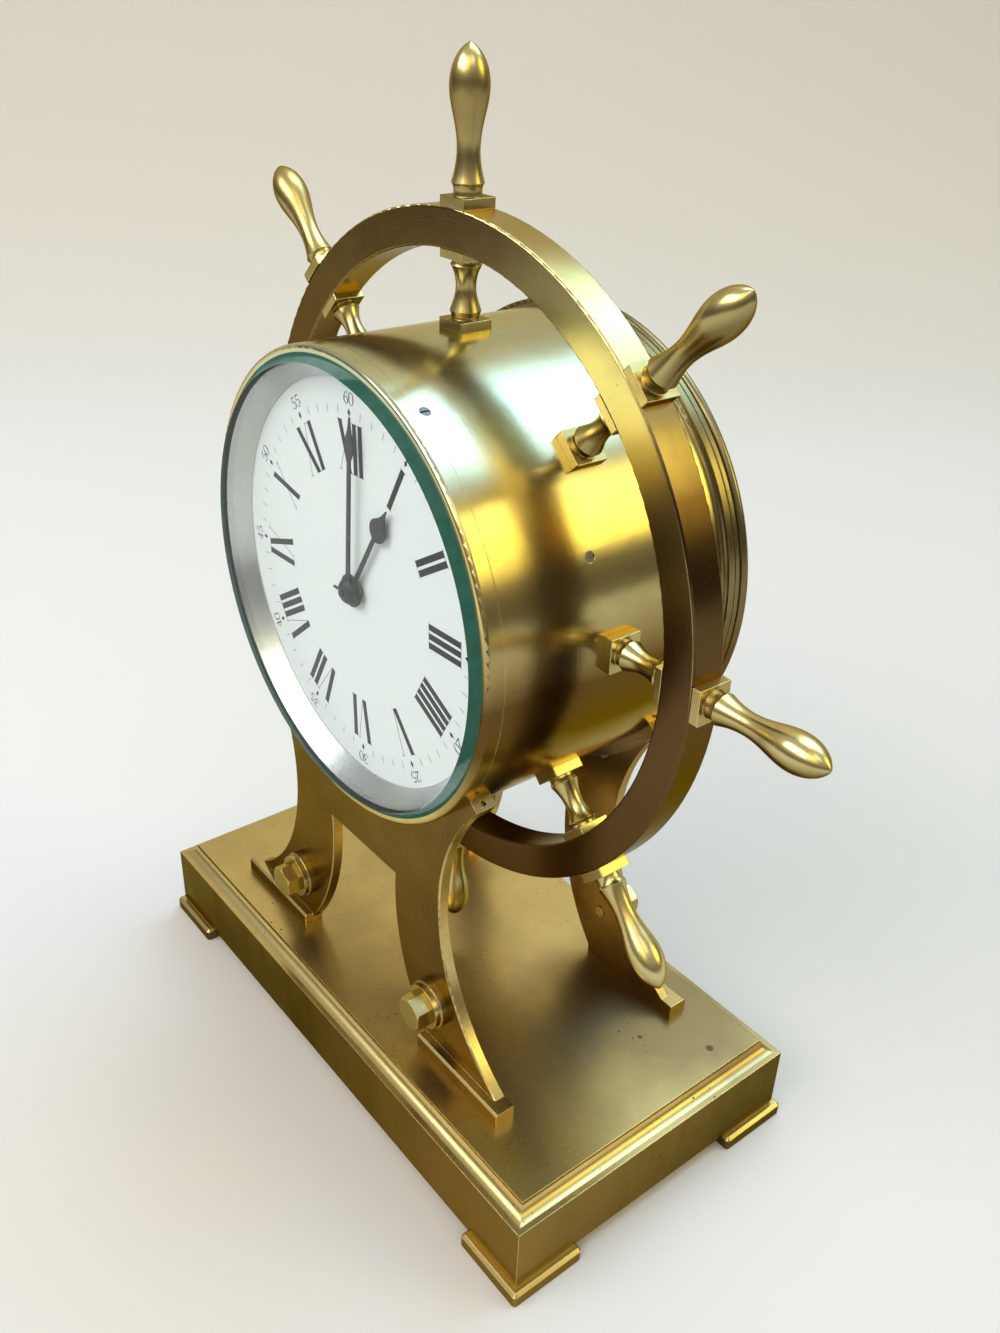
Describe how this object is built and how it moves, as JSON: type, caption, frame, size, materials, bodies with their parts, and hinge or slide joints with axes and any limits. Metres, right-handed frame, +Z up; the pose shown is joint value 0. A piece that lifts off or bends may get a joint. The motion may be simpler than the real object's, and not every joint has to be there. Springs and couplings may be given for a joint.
{
  "type": "ship wheel clock",
  "caption": "Brass desk clock shaped like a ship's wheel: a drum with dial and spring movement inside a spoked rim, held by two saddle frames on a hollow moulded base.",
  "frame": {"origin": "middle of the base's underside, on the table", "axes": "+X to the right seen from the dial, +Y from the dial to the rear door, +Z up; y = 0 is the middle plane of the wheel's rim"},
  "size_m": [0.2616, 0.1096, 0.3014],
  "materials": {
    "polished_brass": "polished and lacquered, lightly tarnished",
    "satin_brass": "satin with small dark spots",
    "movement_brass": "brushed",
    "steel": "plain turned steel",
    "spring_steel": "tempered",
    "blued_steel": "dark blued, semi gloss",
    "glass": "clear with a bevelled edge",
    "white_enamel": "white enamel",
    "silvered_metal": "satin silvered"
  },
  "bodies": {
    "stand": {"back_plate": "movement_brass", "balance_cock": "movement_brass", "base_bottom_plate": "satin_brass", "base_plinth": "satin_brass", "base_screws": "steel", "bezel_glass": "glass", "bolt_collars": "polished_brass", "case_screws": "steel", "corner_feet": "satin_brass", "dial": "white_enamel", "dial_surround": "silvered_metal", "door_hinge_pin": "steel", "drum_case": "polished_brass", "frame_bolts": "polished_brass", "frame_screws": "steel", "front_bezel": "polished_brass", "front_frame": "polished_brass", "front_plate": "movement_brass", "hairspring": "spring_steel", "handle_bottom": "polished_brass", "handle_left": "polished_brass", "handle_lower_left": "polished_brass", "handle_lower_right": "polished_brass", "handle_right": "polished_brass", "handle_top": "polished_brass", "handle_upper_left": "polished_brass", "handle_upper_right": "polished_brass", "movement_ring": "movement_brass", "plate_pillars": "movement_brass", "rear_bezel": "polished_brass", "rear_frame": "polished_brass", "saddle_screws": "steel", "spoke_bottom": "polished_brass", "spoke_left": "polished_brass", "spoke_lower_left": "polished_brass", "spoke_lower_right": "polished_brass", "spoke_right": "polished_brass", "spoke_top": "polished_brass", "spoke_upper_left": "polished_brass", "spoke_upper_right": "polished_brass", "wheel_rim": "polished_brass"},
    "door": {"rear_door": "polished_brass"},
    "catch": {"door_catch": "polished_brass"},
    "centre": {"centre_wheel": "movement_brass", "cannon_pinion": "steel", "minute_hand": "blued_steel", "hand_nut": "blued_steel"},
    "minute_work": {"minute_wheel": "movement_brass"},
    "hour": {"hour_wheel": "movement_brass", "hour_hand": "blued_steel"},
    "barrel_drum": {"barrel": "movement_brass", "mainspring": "spring_steel"},
    "third": {"third_wheel": "movement_brass"},
    "winding": {"barrel_arbor": "steel", "ratchet_wheel": "steel"},
    "ratchet_click": {"click": "steel"},
    "fourth": {"fourth_wheel": "movement_brass"},
    "escape": {"escape_wheel": "movement_brass"},
    "lever": {"pallet_lever": "steel"},
    "balance": {"balance_wheel": "movement_brass"}
  },
  "joints": [
    {"name": "rear_door_hinge", "type": "hinge", "parent": "stand", "child": "door", "pos_m": [-0.0693, 0.0434, 0.1706], "axis": [0, 0, 1], "range_deg": [0, 110]},
    {"name": "catch_turn", "type": "hinge", "parent": "door", "child": "catch", "pos_m": [0.05, 0.0434, 0.1706], "axis": [0, 1, 0], "range_deg": [0, 90]},
    {"name": "centre_turn", "type": "hinge", "parent": "stand", "child": "centre", "pos_m": [0, -0.0195, 0.1706], "axis": [0, 1, 0], "continuous": true},
    {"name": "minute_wheel_turn", "type": "hinge", "parent": "stand", "child": "minute_work", "pos_m": [0, -0.03, 0.161], "axis": [0, 1, 0], "continuous": true},
    {"name": "hour_turn", "type": "hinge", "parent": "stand", "child": "hour", "pos_m": [0, -0.032, 0.1706], "axis": [0, 1, 0], "continuous": true},
    {"name": "barrel_turn", "type": "hinge", "parent": "stand", "child": "barrel_drum", "pos_m": [0, -0.0185, 0.1517], "axis": [0, 1, 0], "continuous": true},
    {"name": "third_turn", "type": "hinge", "parent": "stand", "child": "third", "pos_m": [-0.01018, -0.0195, 0.18078], "axis": [0, 1, 0], "continuous": true},
    {"name": "winding_turn", "type": "hinge", "parent": "stand", "child": "winding", "pos_m": [0, -0.01, 0.1517], "axis": [0, 1, 0], "continuous": true},
    {"name": "click_lift", "type": "hinge", "parent": "stand", "child": "ratchet_click", "pos_m": [-0.0096, -0.0094, 0.1569], "axis": [0, -1, 0], "range_deg": [0, 12]},
    {"name": "fourth_turn", "type": "hinge", "parent": "stand", "child": "fourth", "pos_m": [0.00349, -0.0195, 0.18576], "axis": [0, 1, 0], "continuous": true},
    {"name": "escape_turn", "type": "hinge", "parent": "stand", "child": "escape", "pos_m": [0.01545, -0.0145, 0.18018], "axis": [0, 1, 0], "continuous": true},
    {"name": "lever_swing", "type": "hinge", "parent": "stand", "child": "lever", "pos_m": [0.02043, -0.0139, 0.176], "axis": [0, 1, 0], "range_deg": [-4, 4]},
    {"name": "balance_swing", "type": "hinge", "parent": "stand", "child": "balance", "pos_m": [0.02656, -0.0087, 0.17086], "axis": [0, 1, 0], "range_deg": [-135, 135]}
  ],
  "couplings": [
    {"joint": "minute_wheel_turn", "follows": "centre_turn", "ratio": -0.33333},
    {"joint": "hour_turn", "follows": "centre_turn", "ratio": 0.083333},
    {"joint": "barrel_turn", "follows": "centre_turn", "ratio": -0.16667},
    {"joint": "third_turn", "follows": "centre_turn", "ratio": -8},
    {"joint": "escape_turn", "follows": "fourth_turn", "ratio": -10}
  ]
}
